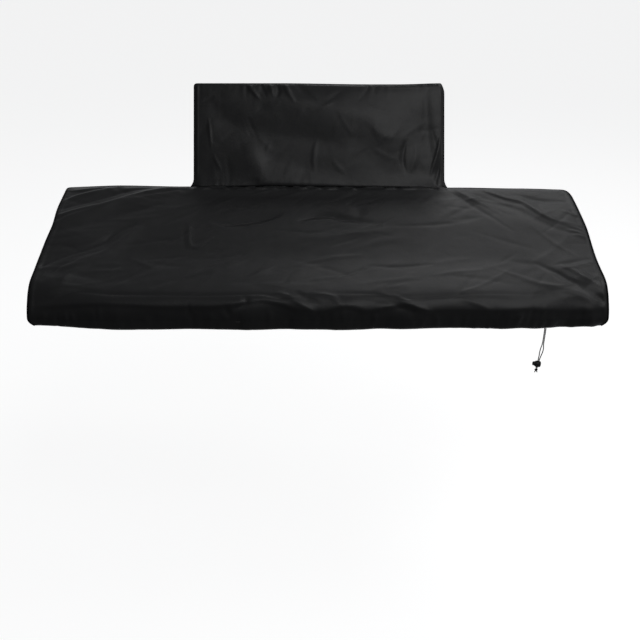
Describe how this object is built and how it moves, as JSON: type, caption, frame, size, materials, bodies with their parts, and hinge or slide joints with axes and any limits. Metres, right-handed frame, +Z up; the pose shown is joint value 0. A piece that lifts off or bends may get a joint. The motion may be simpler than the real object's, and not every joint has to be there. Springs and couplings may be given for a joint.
{
  "type": "fitted piano cover",
  "caption": "Fitted black cloth cover for a keyboard instrument, with a sloping top, a pocket for the raised music rest, bound seams and a drawstring with a cord lock at the hem.",
  "frame": {"origin": "under the top panel, half way along, 0.24 m behind the front hem and 0.15 m above it, where the cover rests on the instrument", "axes": "+X along the instrument to the player's right, +Y from the player to the back, +Z up"},
  "size_m": [1.3678, 0.5931, 0.5936],
  "materials": {
    "cover_cloth": "coated nylon with a soft satin sheen",
    "seam_binding": "narrow woven tape, matte",
    "drawstring_cord": "braided polyester cord, matte",
    "lock_plastic": "moulded plastic, fine satin"
  },
  "bodies": {
    "root": {"main_panel": "cover_cloth", "skirt": "cover_cloth", "pocket_front": "cover_cloth", "pocket_back": "cover_cloth", "binding_left": "seam_binding", "binding_right": "seam_binding", "pocket_binding": "seam_binding", "drawstring_left": "drawstring_cord", "drawstring_right": "drawstring_cord", "cord_lock": "lock_plastic", "drawstring_knot": "drawstring_cord"}
  },
  "joints": []
}
